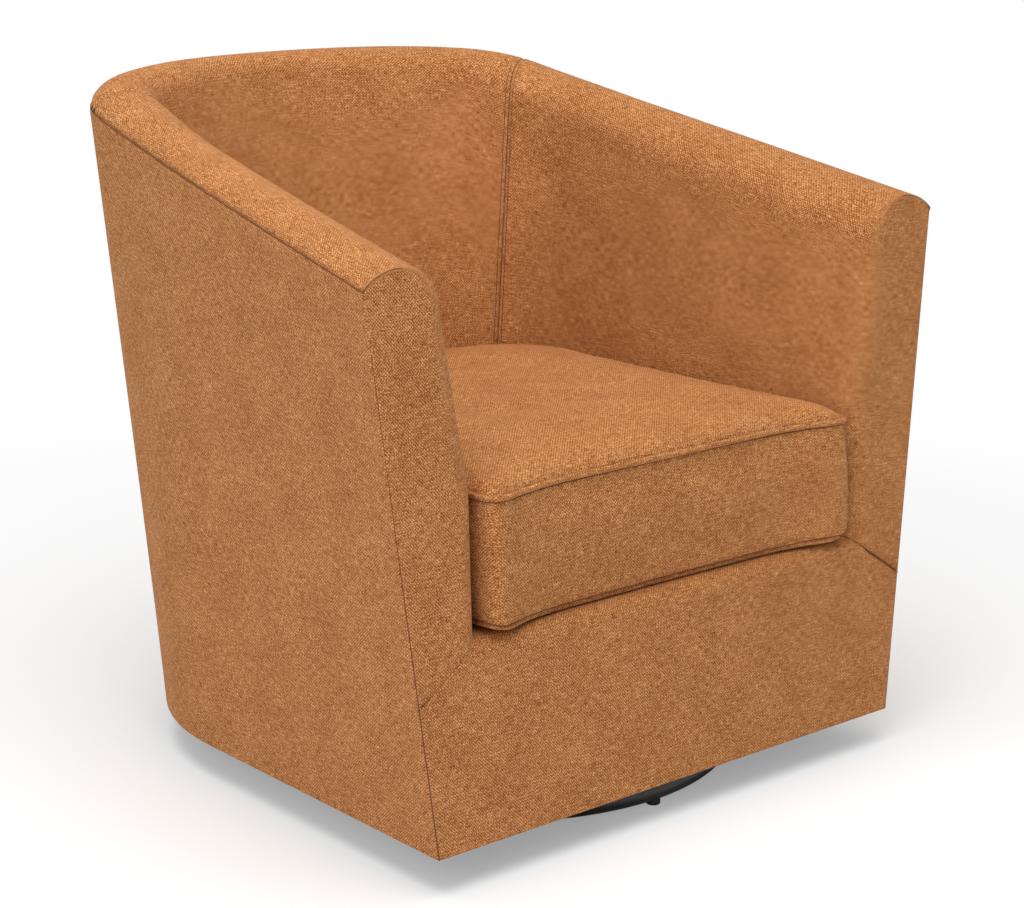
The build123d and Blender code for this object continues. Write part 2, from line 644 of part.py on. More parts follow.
def base_parts():
    """Ring, spokes and glides on the floor, and the swivel's plates, pin and bearing."""
    legs = [360.0 * i / LEGS for i in range(LEGS)]
    tube = Plane.XZ * Pos(RING_MID, 0) * (Circle(RING_TUBE / 2) - Circle(RING_TUBE / 2 - RING_WALL))
    seat_turn = Pos(0, AXIS_Y, RING_Z) * Rot(0, 0, 180.0 / LEGS)
    ring = seat_turn * revolve(tube, Axis.Z)
    coping = seat_turn * Torus(RING_MID, RING_TUBE / 2 + PLAY)
    glides, spokes, bolts = [], [], []
    lower = rod(0, AXIS_Y, SPOKE_TOP, RACE_Z, 2 * LOWER_PLATE_R)
    lower -= rod(0, AXIS_Y, SPOKE_TOP, RACE_Z, PIN_D)
    for angle in legs:
        x, y = around(angle, RING_MID)
        foot = rod(x, y, 0, GLIDE_H + GLIDE_LAP, GLIDE_D)
        foot = fillet(foot.edges().group_by(Axis.Z)[0], GLIDE_ROUND)
        glides.append(foot - coping)
        bar = Pos((SPOKE_START + RING_MID) / 2, 0, 0) * Box(RING_MID - SPOKE_START, SPOKE_W, SPOKE_T)
        bar = Pos(0, AXIS_Y, SPOKE_TOP - SPOKE_T / 2) * Rot(0, 0, angle - 90) * bar - coping
        bar = bar.solids().sort_by(SortBy.VOLUME)[-1]
        bx, by = around(angle, LOWER_BOLT_R)
        hole = rod(bx, by, SPOKE_TOP - SPOKE_T, RACE_Z, BOLT_D + 2 * PLAY)
        spokes.append(bar - hole)
        lower -= hole
        head = rod(bx, by, RACE_Z, RACE_Z + BOLT_HEAD_H, BOLT_HEAD)
        bolts.append(rod(bx, by, SPOKE_TOP - SPOKE_T, RACE_Z, BOLT_D) + head)
    half = UPPER_PLATE / 2
    upper = box(-half, half, AXIS_Y - half, AXIS_Y + half, UPPER_Z, SWIVEL_TOP)
    upper -= rod(0, AXIS_Y, UPPER_Z, SWIVEL_TOP, PIN_D + 2 * PLAY)
    upper_bolts = []
    for x, y in upper_bolt_places():
        upper -= rod(x, y, UPPER_Z, SWIVEL_TOP, BOLT_D + 2 * PLAY)
        head = rod(x, y, UPPER_Z - BOLT_HEAD_H, UPPER_Z, BOLT_HEAD)
        upper_bolts.append(head + rod(x, y, UPPER_Z, FRAME_TOP - BOLT_END, BOLT_D))
    nut_z = SWIVEL_TOP + FIT
    pin = rod(0, AXIS_Y, SPOKE_TOP - PIN_HEAD, SPOKE_TOP, PIN_FLANGE)
    pin += rod(0, AXIS_Y, SPOKE_TOP, nut_z + PIN_HEAD + PIN_END, PIN_D)
    nut = rod(0, AXIS_Y, nut_z, nut_z + PIN_HEAD, PIN_FLANGE)
    nut -= rod(0, AXIS_Y, nut_z, nut_z + PIN_HEAD, PIN_D)

    race_mid = (RACE_Z + UPPER_Z) / 2
    cage_z = race_mid - CAGE_T / 2
    cage = rod(0, AXIS_Y, cage_z, cage_z + CAGE_T, 2 * BALL_CIRCLE + CAGE_W)
    cage -= rod(0, AXIS_Y, cage_z, cage_z + CAGE_T, 2 * BALL_CIRCLE - CAGE_W)
    balls = []
    for i in range(BALLS):
        x, y = around(360.0 * i / BALLS, BALL_CIRCLE)
        balls.append(Pos(x, y, race_mid) * Sphere(BALL_D / 2))
        cage -= rod(x, y, cage_z, cage_z + CAGE_T, BALL_D + 2 * PLAY)
    return {
        "base_ring": ring,
        "base_spokes": group(spokes),
        "base_glides": group(glides),
        "swivel_lower_plate": lower,
        "lower_plate_bolts": group(bolts),
        "king_pin": pin,
        "king_pin_nut": nut,
        "ball_cage": cage,
        "bearing_balls": group(balls),
        "swivel_upper_plate": upper,
        "upper_plate_bolts": group(upper_bolts),
    }


def cushion_wire(inset, grow, scale, z):
    """Plan of the cushion at one level; its front and sides pull in a little between the corners."""
    plan = INNER_SEAT.inset(CUSHION_GAP + inset - grow)
    front = CUSHION_FRONT + inset - grow
    centre_y = (front + plan.back_y) / 2
    corner = FRONT_CORNER - inset + grow
    half = plan.half_at(front + corner)
    bulge = DRAWN_IN

    def at(x, y):
        return Vector(x * scale, centre_y + (y - centre_y) * scale, z)

    side_foot = (half, front + corner)
    side_mid = ((half + plan.side_end[0]) / 2 - bulge, (side_foot[1] + plan.side_end[1]) / 2)
    front_end = (half - corner, front)
    front_corner = (half - corner * (1 - sin(pi / 4)), front + corner * (1 - cos(pi / 4)))
    right = [
        Edge.make_three_point_arc(at(*front_end), at(*front_corner), at(*side_foot)),
        Edge.make_three_point_arc(at(*side_foot), at(*side_mid), at(*plan.side_end)),
        Edge.make_three_point_arc(at(*plan.side_end), at(*plan.corner_arc_mid()), at(*plan.corner_end)),
    ]
    left = [edge.mirror(Plane.YZ) for edge in right]
    back = Edge.make_three_point_arc(
        at(*plan.corner_end), at(0, plan.back_y), at(-plan.corner_end[0], plan.corner_end[1])
    )
    front_edge = Edge.make_three_point_arc(at(-front_end[0], front), at(0, front + bulge), at(*front_end))
    return Wire(right + [back] + left + [front_edge])


def cushion_body(inset):
    """Boxing that swells at half height, under a crowned top, this far inside the cushion's skin."""
    foot, edge = CUSHION_FOOT + inset, CUSHION_EDGE - inset
    boxing = Solid.make_loft(
        [
            cushion_wire(inset, 0.0, 1.0, foot),
            cushion_wire(inset, BELLY, 1.0, (foot + edge) / 2),
            cushion_wire(inset, 0.0, 1.0, edge),
        ]
    )
    levels = []
    for i in range(CROWN_STEPS + 1):
        turn = pi / 2 * i / CROWN_STEPS
        scale = 1 - (1 - CROWN_FLAT) * (1 - cos(turn))
        levels.append(cushion_wire(inset, 0.0, scale, edge + CUSHION_CROWN * sin(turn)))
    return boxing + Solid.make_loft(levels)


def zip_place():
    """Back arc of the cushion's boxing: its centre and its radius at half height."""
    plan = INNER_SEAT.inset(CUSHION_GAP - BELLY)
    return plan.back_mid[1], plan.back_r


def cushion_parts():
    """Loose seat cushion: foam, cover, two welts and the zipper in the back of its boxing."""
    welts = {}
    welt_r = WELT / 2
    for name, z in (
        ("cushion_bottom_welt", CUSHION_FOOT + welt_r),
        ("cushion_top_welt", CUSHION_EDGE - welt_r),
    ):
        path = cushion_wire(0.0, welt_r + FIT + WELT_BELLY, 1.0, z)
        cord = Edge.make_spline([path @ (i / WELT_POINTS) for i in range(WELT_POINTS)], periodic=True)
        welts[name] = sweep(Plane(cord @ 0, z_dir=cord % 0) * Circle(welt_r), path=cord)

    centre_y, radius = zip_place()
    zip_z = (CUSHION_FOOT + CUSHION_EDGE) / 2
    near = radius + FIT

    def arc_band(near_r, far_r, low, high, half_angle, middle=90.0):
        ring = rod(0, centre_y, low, high, 2 * far_r) - rod(0, centre_y, low, high, 2 * near_r)
        first, last = radians(middle - half_angle), radians(middle + half_angle)
        reach = 2 * far_r
        wedge = Wire.make_polygon(
            [
                Vector(0, centre_y, low),
                Vector(reach * cos(first), centre_y + reach * sin(first), low),
                Vector(reach * cos(last), centre_y + reach * sin(last), low),
            ],
            close=True,
        )
        return ring & extrude(Face(wedge), high - low, dir=(0, 0, 1))

    tape = arc_band(near, near + ZIP_T, zip_z - ZIP_W / 2, zip_z + ZIP_W / 2, ZIP_END)
    slide_r = near + ZIP_T + FIT
    stop = 90.0 + SLIDER_STOP
    face_r = slide_r + SLIDER_T
    slider_half, pull_half = degrees(SLIDER_L / 2 / slide_r), degrees(PULL_W / 2 / slide_r)
    slider = arc_band(slide_r, face_r, zip_z - SLIDER_H / 2, zip_z + SLIDER_H / 2, slider_half, stop)
    pull = arc_band(face_r - PULL_T, face_r, zip_z - PULL_L, zip_z, pull_half, stop)
    return {
        "cushion_foam": cushion_body(COVER + FIT),
        "cushion_cover": cushion_body(0.0) - cushion_body(COVER),
        "cushion_zipper": tape,
        "zipper_slider": slider + pull,
        **welts,
    }


def main():
    os.makedirs("parts", exist_ok=True)
    parts = {}
    for maker in (base_parts, frame_parts, spring_parts, wall_parts, front_parts, cushion_parts):
        parts.update(maker())
    for name, piece in parts.items():
        export_step(piece, os.path.join("parts", f"{name}.step"))
    print(f"{len(parts)} nodes")


main()
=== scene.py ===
# %% [markdown]
# A barrel chair on a swivel base: a tub of padded walls in rust linen, a loose cushion and a black steel
# ring. The CAD model is loaded first. It gives the places of all pieces and the bodies they move with, and
# its hard parts stay as they are. Everything soft that shows is made again here, because cloth is never as
# stiff as a CAD solid.

# %% Load the frame
import json
import math

import bmesh
import bpy
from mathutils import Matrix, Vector


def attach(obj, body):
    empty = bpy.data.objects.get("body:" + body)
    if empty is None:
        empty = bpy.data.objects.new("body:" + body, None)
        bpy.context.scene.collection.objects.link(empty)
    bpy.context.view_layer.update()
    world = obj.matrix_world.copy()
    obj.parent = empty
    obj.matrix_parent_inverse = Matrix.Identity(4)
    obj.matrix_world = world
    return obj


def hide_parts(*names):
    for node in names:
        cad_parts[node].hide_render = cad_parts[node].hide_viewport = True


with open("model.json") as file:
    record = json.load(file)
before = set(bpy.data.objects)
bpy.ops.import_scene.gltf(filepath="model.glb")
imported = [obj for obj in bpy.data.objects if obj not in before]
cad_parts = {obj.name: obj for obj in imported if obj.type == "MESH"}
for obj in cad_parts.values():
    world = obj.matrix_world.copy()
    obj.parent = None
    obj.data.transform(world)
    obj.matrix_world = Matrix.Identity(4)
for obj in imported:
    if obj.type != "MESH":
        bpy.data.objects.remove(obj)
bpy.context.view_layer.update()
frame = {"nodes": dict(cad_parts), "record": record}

nodes = frame["nodes"]
MM = 0.001

# %% [markdown]
# A product photo is taken from a little above with a long lens, so that the chair's lines stay calm. The
# camera stands where the photograph's vanishing lines put it.

# %% Camera
CAMERA_PLACE = Vector((-1.69136, -2.04940, 0.98836))
CAMERA_TARGET = Vector((0.0476, -0.0412, 0.3146))
CAMERA_WIDTH = math.radians(23.40)
SENSOR_WIDTH = 36.0

camera = bpy.data.objects.new("camera", bpy.data.cameras.new("camera"))
bpy.context.collection.objects.link(camera)
camera.location = CAMERA_PLACE
camera.rotation_euler = (CAMERA_TARGET - CAMERA_PLACE).to_track_quat("-Z", "Y").to_euler()
camera.data.sensor_width = SENSOR_WIDTH
camera.data.lens = SENSOR_WIDTH / 2 / math.tan(CAMERA_WIDTH / 2)
bpy.context.scene.camera = camera
print("lens in millimetres:", round(camera.data.lens, 1))

# %% [markdown]
# A few helpers serve every finish. Colours are written as the hex values a paint shop would use and turned
# into the linear values that a renderer adds up. One function adds a node, sets its values and joins it to
# others.

# %% Helpers for finishes


def linear(hex_colour):
    channels = [int(hex_colour[i : i + 2], 16) / 255 for i in (1, 3, 5)]
    return tuple(c / 12.92 if c <= 0.04045 else ((c + 0.055) / 1.055) ** 2.4 for c in channels) + (1.0,)


def add(tree, kind, links=None, values=None, **settings):
    node = tree.nodes.new(kind)
    for name, value in settings.items():
        setattr(node, name, value)
    for name, value in (values or {}).items():
        node.inputs[name].default_value = value
    for name, socket in (links or {}).items():
        tree.links.new(socket, node.inputs[name])
    return node


def start_finish(name, roughness, metallic=0.0):
    material = bpy.data.materials.new(name)
    material.use_nodes = True
    tree = material.node_tree
    shader = tree.nodes["Principled BSDF"]
    shader.inputs["Roughness"].default_value = roughness
    shader.inputs["Metallic"].default_value = metallic
    return material, tree, shader


def ramp(tree, socket, stops):
    """Colours along a grey value: a list of (place, hex colour)."""
    node = add(tree, "ShaderNodeValToRGB", links={"Fac": socket})
    elements = node.color_ramp.elements
    while len(elements) < len(stops):
        elements.new(0.5)
    for element, (place, colour) in zip(elements, stops):
        element.position = place
        element.color = linear(colour)
    return node.outputs["Color"]


def roughen(tree, shader, height, strength, distance):
    bump = add(
        tree, "ShaderNodeBump", links={"Height": height}, values={"Strength": strength, "Distance": distance}
    )
    tree.links.new(bump.outputs["Normal"], shader.inputs["Normal"])


# %% [markdown]
# The cover looks like linen: a plain weave of uneven yarns. Thick and thin places in the yarns, the slubs,
# show as short darker and lighter dashes that run both ways, and from a step away the cloth looks mottled.
# The pattern follows each piece's own UV map, which holds real metres along the cloth's two thread
# directions. Over and under each other, the yarns make a fine check that wavers as they do. The yarns are
# drawn a little wider than real ones, since finer ones would not show.

# %% Rust linen
YARN = 1.2 * MM
SLUB_LENGTH = 9 * MM
KNOT = 1.3 * YARN
STREAK_LENGTH, STREAK_WIDTH = 34 * MM, 1.8 * MM
WEAVE_REPEAT = 3.4 * MM
WAVER = 8.0
CLOUD = 60 * MM
NOISE_DETAIL, NOISE_ROUGHNESS = 2.0, 0.6
WEFT_SHARE, WARP_SHARE, KNOT_SHARE = 0.42, 0.36, 0.22
STREAK_SHARE, CLOUD_SHARE = 0.6, 0.4
YARN_SHARE, CHECK_SHARE, SLOW_SHARE = 0.67, 0.17, 0.16
LINEN_SHADES = [(0.41, "#6e3c16"), (0.475, "#9d6030"), (0.525, "#b27542"), (0.6, "#dda773")]
WEAVE_BUMP, WEAVE_HEIGHT = 0.6, 0.9 * MM
THREAD_TWIST = 0.8 * MM


def rust_linen():
    material, tree, shader = start_finish("rust_linen_weave", 0.92)
    cloth = add(tree, "ShaderNodeUVMap", uv_map="weave").outputs["UV"]

    def noise(size_along, size_across):
        scaled = add(
            tree,
            "ShaderNodeMapping",
            links={"Vector": cloth},
            values={"Scale": (1 / size_along, 1 / size_across, 1.0)},
        )
        grain = add(
            tree,
            "ShaderNodeTexNoise",
            links={"Vector": scaled.outputs["Vector"]},
            values={"Scale": 1.0, "Detail": NOISE_DETAIL, "Roughness": NOISE_ROUGHNESS},
        )
        return grain.outputs["Fac"]

    def math_node(operation, a, b):
        node = add(tree, "ShaderNodeMath", links={0: a}, operation=operation)
        if isinstance(b, float):
            node.inputs[1].default_value = b
        else:
            tree.links.new(b, node.inputs[1])
        return node.outputs["Value"]

    def blend(*parts):
        """Sum of values, each given as (value, share)."""
        total = None
        for value, share in parts:
            weighted = math_node("MULTIPLY", value, share)
            total = weighted if total is None else math_node("ADD", total, weighted)
        return total

    def yarn_wave(axis, waver):
        run = math_node("MULTIPLY", axes.outputs[axis], 2 * math.pi / WEAVE_REPEAT)
        uneven = math_node("ADD", run, math_node("MULTIPLY", waver, WAVER))
        return math_node("SINE", uneven, 0.0)

    axes = add(tree, "ShaderNodeSeparateXYZ", links={"Vector": cloth})
    weft = noise(SLUB_LENGTH, YARN)
    warp = noise(YARN, SLUB_LENGTH)
    crossing = math_node("MULTIPLY", yarn_wave("X", weft), yarn_wave("Y", warp))
    check = math_node("ADD", math_node("MULTIPLY", crossing, 0.5), 0.5)
    knots = noise(KNOT, KNOT)
    streaks = noise(STREAK_LENGTH, STREAK_WIDTH)
    cloud = noise(CLOUD, CLOUD)
    yarns = blend((weft, WEFT_SHARE), (warp, WARP_SHARE), (knots, KNOT_SHARE))
    slow = blend((streaks, STREAK_SHARE), (cloud, CLOUD_SHARE))
    close = blend((yarns, YARN_SHARE), (check, CHECK_SHARE))
    shade = math_node("ADD", close, math_node("MULTIPLY", slow, SLOW_SHARE))
    tree.links.new(ramp(tree, shade, LINEN_SHADES), shader.inputs["Base Color"])
    shader.inputs["Specular IOR Level"].default_value = 0.2
    shader.inputs["Sheen Weight"].default_value = 0.12
    shader.inputs["Sheen Roughness"].default_value = 0.5
    shader.inputs["Sheen Tint"].default_value = linear("#d9a778")
    roughen(tree, shader, close, WEAVE_BUMP, WEAVE_HEIGHT)
    return material


def thread_and_seam_shade():
    """Sewing thread, and painted shade at the bottom of each seam: a darker brown than the cloth."""
    material, tree, shader = start_finish("sewing_thread_and_painted_seam_shade", 0.8)
    place = add(tree, "ShaderNodeTexCoord").outputs["Object"]
    twist = add(
        tree, "ShaderNodeTexNoise", links={"Vector": place}, values={"Scale": 1 / THREAD_TWIST, "Detail": 1.0}
    )
    # These dark browns are the thread's own colour and also painted shade in the seams' dips.
    colour = ramp(tree, twist.outputs["Fac"], [(0.3, "#512a10"), (0.7, "#6e3f1c")])
    tree.links.new(colour, shader.inputs["Base Color"])
    return material


LINEN = rust_linen()
THREAD_AND_SEAM_SHADE = thread_and_seam_shade()
print("finishes:", LINEN.name, THREAD_AND_SEAM_SHADE.name)

# %% [markdown]
# The hard parts keep their CAD shape and only get a finish. The ring is powder coated, which gives satin
# black with a fine orange-peel grain. The hidden frame is plywood, fibreboard, foam and bright steel.

# %% Finishes of the hard parts and the padding
WOOD_STRETCH = 0.08
WOOD_BUMP, WOOD_HEIGHT = 0.2, 0.3 * MM


def speckled(name, roughness, metallic, grain, stops, bump=0.0):
    """A finish whose colour and height follow one grain of a real size."""
    material, tree, shader = start_finish(name, roughness, metallic)
    place = add(tree, "ShaderNodeTexCoord").outputs["Object"]
    noise = add(
        tree, "ShaderNodeTexNoise", links={"Vector": place}, values={"Scale": 1 / grain, "Detail": 3.0}
    ).outputs["Fac"]
    tree.links.new(ramp(tree, noise, stops), shader.inputs["Base Color"])
    if bump:
        roughen(tree, shader, noise, bump, grain)
    return material


def layered_wood(name, layer, stops):
    """Wood with grain lines: a noise stretched along one direction."""
    material, tree, shader = start_finish(name, 0.7)
    place = add(tree, "ShaderNodeTexCoord").outputs["Object"]
    stretched = add(
        tree,
        "ShaderNodeMapping",
        links={"Vector": place},
        values={"Scale": (WOOD_STRETCH / layer, 1 / layer, 1 / layer)},
    )
    grain = add(
        tree,
        "ShaderNodeTexNoise",
        links={"Vector": stretched.outputs["Vector"]},
        values={"Scale": 1.0, "Detail": 4.0},
    ).outputs["Fac"]
    tree.links.new(ramp(tree, grain, stops), shader.inputs["Base Color"])
    roughen(tree, shader, grain, WOOD_BUMP, WOOD_HEIGHT)
    return material


FINISHES = {
    "black_steel": speckled(
        "black_powder_coat", 0.38, 0.0, 0.8 * MM, [(0.3, "#070707"), (0.7, "#0f0e0d")], 0.05
    ),
    "bright_steel": speckled("zinc_plated_steel", 0.35, 1.0, 3 * MM, [(0.3, "#a9abad"), (0.7, "#c6c8c9")]),
    "black_plastic": speckled(
        "moulded_black_nylon", 0.45, 0.0, 0.6 * MM, [(0.3, "#0a0a0a"), (0.7, "#141414")], 0.1
    ),
    "frame_wood": layered_wood("raw_plywood", 4 * MM, [(0.3, "#a57f52"), (0.7, "#c9a677")]),
    "lining_board": speckled(
        "grey_fibreboard", 0.85, 0.0, 2 * MM, [(0.3, "#7a6650"), (0.7, "#957f66")], 0.2
    ),
    "padding": speckled(
        "cream_urethane_foam", 0.95, 0.0, 1.5 * MM, [(0.3, "#d6c69c"), (0.7, "#e9dcb8")], 0.4
    ),
    "dust_cloth": speckled(
        "black_nonwoven_cloth", 0.9, 0.0, 1.2 * MM, [(0.3, "#0d0d0d"), (0.7, "#1c1c1c")], 0.3
    ),
    "rust_fabric": LINEN,
}
slots = {part["node"]: part["material_slot"] for part in frame["record"]["subparts"]}
for name, node in nodes.items():
    node.data.materials.clear()
    node.data.materials.append(FINISHES[slots[name]])
print("finished nodes:", len(slots))

# %% [markdown]
# The tub has four plans: outside at the hem and at the rim, inside at the seat and at the top. Each plan is a
# straight side, a corner arc and a back arc. An upright section through the wall at any place along the tub
# follows from them, so the cloth can be laid over the wall by asking for points of its sections. Sizes are in
# millimetres.

# %% Plans of the tub


class Plan:
    """Half plan: half width at the front, the front's y, toe-in, straight length, corner radius and the
    angle where the corner ends and the back begins."""

    def __init__(self, half, front, toe, side, corner, back):
        self.half, self.front, self.corner = half, front, corner
        self.toe, back_angle = math.radians(toe), math.radians(back)
        self.side_end = (half - side * math.sin(self.toe), front + side * math.cos(self.toe))
        self.corner_mid = (
            self.side_end[0] - corner * math.cos(self.toe),
            self.side_end[1] - corner * math.sin(self.toe),
        )
        self.corner_end = (
            self.corner_mid[0] + corner * math.sin(back_angle),
            self.corner_mid[1] + corner * math.cos(back_angle),
        )
        self.back_r = self.corner_end[0] / math.sin(back_angle)
        self.back_mid = (0.0, self.corner_end[1] - self.back_r * math.cos(back_angle))
        self.back_y = self.back_mid[1] + self.back_r

    def reach(self, y, angle):
        """Distance from (0, y) to the plan along a ray at this angle from +X."""
        ray = (math.cos(angle), math.sin(angle))
        if angle >= math.atan2(self.corner_end[1] - y, self.corner_end[0]):
            return far_crossing(y, ray, self.back_mid, self.back_r)
        if angle >= math.atan2(self.side_end[1] - y, self.side_end[0]):
            return far_crossing(y, ray, self.corner_mid, self.corner)
        half = self.half - (y - self.front) * math.tan(self.toe)
        return half / (ray[0] + math.tan(self.toe) * ray[1])


def far_crossing(y, ray, centre, radius):
    """Far crossing of a ray that starts at (0, y) with a circle."""
    along = ray[0] * centre[0] + ray[1] * (centre[1] - y)
    apart = centre[0] ** 2 + (centre[1] - y) ** 2 - radius**2
    return along + math.sqrt(max(0.0, along**2 - apart))


HEM_Z, RIM_Z = 39.0, 735.0
HEM_FRONT, RIM_FRONT = -361.5, -335.6
FRONT_LEAN = (RIM_FRONT - HEM_FRONT) / (RIM_Z - HEM_Z)
LUMBAR_Z = 385.0
SEAT_FRONT = HEM_FRONT + FRONT_LEAN * (LUMBAR_Z - HEM_Z)
OUTER_HEM = Plan(321.0, HEM_FRONT, 1.2, 400.0, 289.4, 17.4)
OUTER_RIM = Plan(403.5, RIM_FRONT, 8.9, 545.8, 118.1, 31.7)
INNER_SEAT = Plan(260.0, SEAT_FRONT, 1.4, 410.0, 120.0, 15.0)
INNER_TOP = Plan(317.0, RIM_FRONT, 8.0, 545.0, 68.0, 30.0)
HUB_Y = 40.0
HUB_DEPTH = HUB_Y - HEM_FRONT

ARM_RIM, RIM_SLOPE, RIM_EASE_Y = 608.0, 0.196, 140.0


def rim_height(y):
    """Top of the rim: it rises in a straight line along the arm and eases into the level back."""
    ease_z = ARM_RIM + RIM_SLOPE * (RIM_EASE_Y - RIM_FRONT)
    if y <= RIM_EASE_Y:
        return ease_z - RIM_SLOPE * (RIM_EASE_Y - y)
    span = OUTER_RIM.back_y - RIM_EASE_Y
    t = (y - RIM_EASE_Y) / span
    start = 2 * t**3 - 3 * t**2 + 1
    return ease_z * start + RIM_SLOPE * span * (t**3 - 2 * t**2 + t) + RIM_Z * (1 - start)


print("back of the rim at y", round(OUTER_RIM.back_y, 1))

# %% [markdown]
# A section of the wall runs up the outside, over a soft crown and a larger roll, and down the inside. The
# inside is upright behind the cushion and leans outwards above it.

# %% Sections of the wall
CROWN_RISE, CROWN_GROW, CREST_SHARE = 17.0, 6.0, 0.45
FOOT_Z = 229.0
CROWN_END, ROLL_END, LEAN_END = 0.12, 0.32, 0.74


class Section:
    """Upright section of the right half's wall. u runs outwards from the middle plane."""

    def __init__(self, hem_y, rim_y, angle):
        self.hem_y, self.rim_y, self.angle = hem_y, rim_y, angle
        ray = min(angle, math.pi - angle)
        self.hem_u = OUTER_HEM.reach(hem_y, ray)
        self.rim_u = OUTER_RIM.reach(rim_y, ray)
        self.seat_u = INNER_SEAT.reach(self.y(LUMBAR_Z), ray)
        self.top_u = INNER_TOP.reach(rim_y, ray)
        self.crest_z = rim_height(rim_y + self.rim_u * math.sin(ray))
        rise = CROWN_RISE + CROWN_GROW * (self.crest_z - ARM_RIM) / (RIM_Z - ARM_RIM)
        self.seam_z = self.crest_z - rise
        self.lean = (self.top_u - self.seat_u) / (RIM_Z - LUMBAR_Z)
        seam_u = self.outer(self.seam_z)
        self.crest_u = seam_u - CREST_SHARE * (seam_u - self.inner(self.seam_z))
        half_chord = seam_u - self.crest_u
        self.crown_r = (half_chord**2 + rise**2) / (2 * rise)
        self.crown_start = math.acos(half_chord / self.crown_r)
        self.roll_r = (self.crest_u - self.inner(self.crest_z)) / (math.sqrt(1 + self.lean**2) - self.lean)
        self.roll_stop = math.pi - math.atan(self.lean)

    def y(self, z):
        return self.hem_y + (self.rim_y - self.hem_y) * (z - HEM_Z) / (RIM_Z - HEM_Z)

    def outer(self, z):
        return self.hem_u + (self.rim_u - self.hem_u) * (z - HEM_Z) / (RIM_Z - HEM_Z)

    def inner(self, z):
        return self.seat_u + self.lean * max(0.0, z - LUMBAR_Z)

    def point(self, u, z):
        return Vector((u * math.cos(self.angle), self.y(z) + u * math.sin(self.angle), z))

    def skin(self, t, inset):
        """Point of the inside skin, from the outer seam at t 0 over the rim to the foot at t 1."""
        if t < ROLL_END:
            if t < CROWN_END:
                radius = self.crown_r
                turn = self.crown_start + (math.pi / 2 - self.crown_start) * t / CROWN_END
            else:
                radius = self.roll_r
                share = (t - CROWN_END) / (ROLL_END - CROWN_END)
                turn = math.pi / 2 + (self.roll_stop - math.pi / 2) * share
            u = self.crest_u + (radius - inset) * math.cos(turn)
            return self.point(u, self.crest_z - radius + (radius - inset) * math.sin(turn))
        roll_z = self.crest_z - self.roll_r + self.roll_r * math.sin(self.roll_stop)
        if t < LEAN_END:
            z = roll_z + (LUMBAR_Z - roll_z) * (t - ROLL_END) / (LEAN_END - ROLL_END)
        else:
            z = LUMBAR_Z + (FOOT_Z - LUMBAR_Z) * (t - LEAN_END) / (1 - LEAN_END)
        return self.point(self.inner(z) + inset, z)


def arm_section(depth):
    """Section of the arm this far behind the chair's front."""
    share = depth / HUB_DEPTH
    return Section(HEM_FRONT + depth, RIM_FRONT + share * (HUB_Y - RIM_FRONT), 0.0)


FAN_RADIUS = 380.0


def path_section(path):
    """Section at a distance along the side: the straight arm first, then the corner round the hub."""
    if path <= HUB_DEPTH:
        return arm_section(path)
    return Section(HUB_Y, HUB_Y, (path - HUB_DEPTH) / FAN_RADIUS)


def path_to(degrees):
    return HUB_DEPTH + math.radians(degrees) * FAN_RADIUS


print("arm's top at the front", round(arm_section(0.0).crest_z, 1), "wall", round(arm_section(0.0).hem_u, 1))

# %% [markdown]
# Upholstery is cut flat and sewn, so each cover starts as a flat grid whose points are then moved to the
# wall. At a seam the cloth dips into the padding, and the dip's shade makes the seam dark. Most grids are
# finer near their edges so that the dip has room.

# %% From a flat grid to a cover
SEAM_DIP, SEAM_WIDTH, SEAM_LAP = 2.6, 5.5, 1.0
CLOTH = 2.0 * MM
EDGE_CROWD = 0.82
COVER_WELD = 0.1 * MM


def crowd(t):
    """The same range with its points drawn towards both ends."""
    return t - EDGE_CROWD * math.sin(2 * math.pi * t) / (2 * math.pi)


def dip(*distances):
    """How deep the cloth lies under its surface, at these distances from its seams."""
    near = min(distances)
    return SEAM_DIP * max(0.0, 1 - near / SEAM_WIDTH) ** 2


def lengths(points):
    """Distance of each point from the first, along the line through them, in metres."""
    reached = [0.0]
    for a, b in zip(points, points[1:]):
        reached.append(reached[-1] + (b - a).length * MM)
    return reached


def lay(bm, columns, rows, place, upright=False):
    """Adds a flat grid to bm and moves each of its points to place(u, v), given in millimetres.

    The threads follow the grid, or run level and upright where the piece faces the front."""
    weave = bm.loops.layers.uv.get("weave") or bm.loops.layers.uv.new("weave")
    grid = bmesh.ops.create_grid(bm, x_segments=columns, y_segments=rows, size=0.5)
    flat = {vert: (vert.co.x + 0.5, vert.co.y + 0.5) for vert in grid["verts"]}
    across = lengths([place(i / columns, 0.5) for i in range(columns + 1)])
    along = lengths([place(0.5, i / rows) for i in range(rows + 1)])
    for vert, (u, v) in flat.items():
        vert.co = place(u, v) * MM
    for face in {face for vert in flat for face in vert.link_faces}:
        for loop in face.loops:
            u, v = flat[loop.vert]
            if upright:
                loop[weave].uv = (loop.vert.co.x, loop.vert.co.z)
            else:
                loop[weave].uv = (across[round(u * columns)], along[round(v * rows)])


def turn_faces(bm, point, away):
    """Turns the sheet's faces towards a point, in millimetres, or away from it."""
    bmesh.ops.remove_doubles(bm, verts=bm.verts, dist=COVER_WELD)
    bmesh.ops.recalc_face_normals(bm, faces=bm.faces)
    towards = 0.0
    for face in bm.faces:
        towards += face.normal.dot(point * MM - face.calc_center_median()) * face.calc_area()
    if (towards > 0) == away:
        bmesh.ops.reverse_faces(bm, faces=bm.faces)


def new_piece(name, bm, body, finish, replaced=()):
    mesh = bpy.data.meshes.new(name)
    bm.to_mesh(mesh)
    bm.free()
    mesh.materials.append(finish)
    mesh.shade_smooth()
    piece = bpy.data.objects.new(name, mesh)
    bpy.context.collection.objects.link(piece)
    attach(piece, body)
    if replaced:
        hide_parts(*replaced)
    return piece


